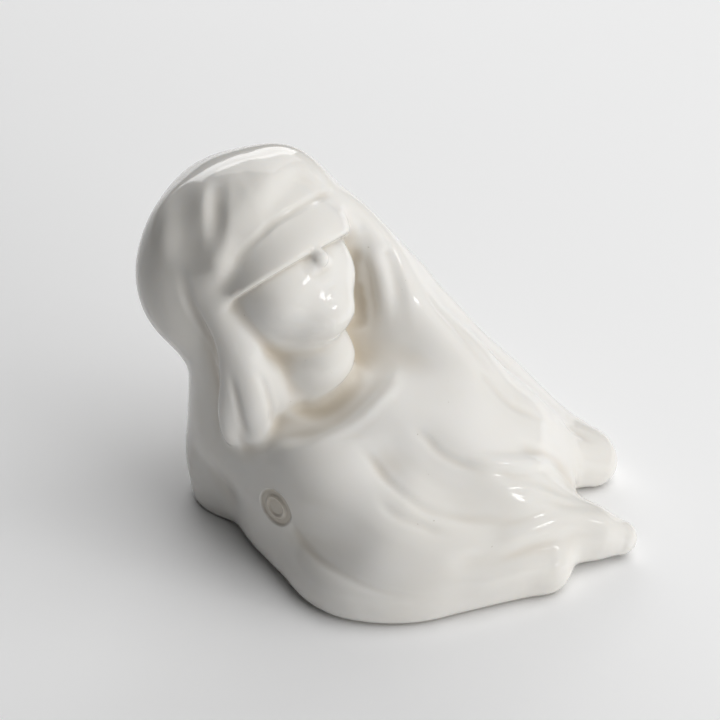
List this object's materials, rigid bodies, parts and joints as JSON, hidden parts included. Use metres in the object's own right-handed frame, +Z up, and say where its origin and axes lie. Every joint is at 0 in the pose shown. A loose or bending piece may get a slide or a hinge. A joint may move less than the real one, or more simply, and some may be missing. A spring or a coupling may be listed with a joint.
{
  "type": "blindfolded goddess figurine",
  "caption": "Glazed porcelain figurine of a blindfolded goddess, head thrown back, whose long hair sweeps round her to the ground and ends in pointed locks.",
  "frame": {"origin": "centre of the bounding box's underside, on the ground the figurine stands on", "axes": "+Z up; +X to the viewer's right in the picture, towards the tips of the hair; +Y away from the viewer"},
  "size_m": [0.1502, 0.1115, 0.1245],
  "materials": {
    "porcelain": "glossy, warm white"
  },
  "bodies": {
    "root": {"figurine": "porcelain"}
  },
  "joints": []
}
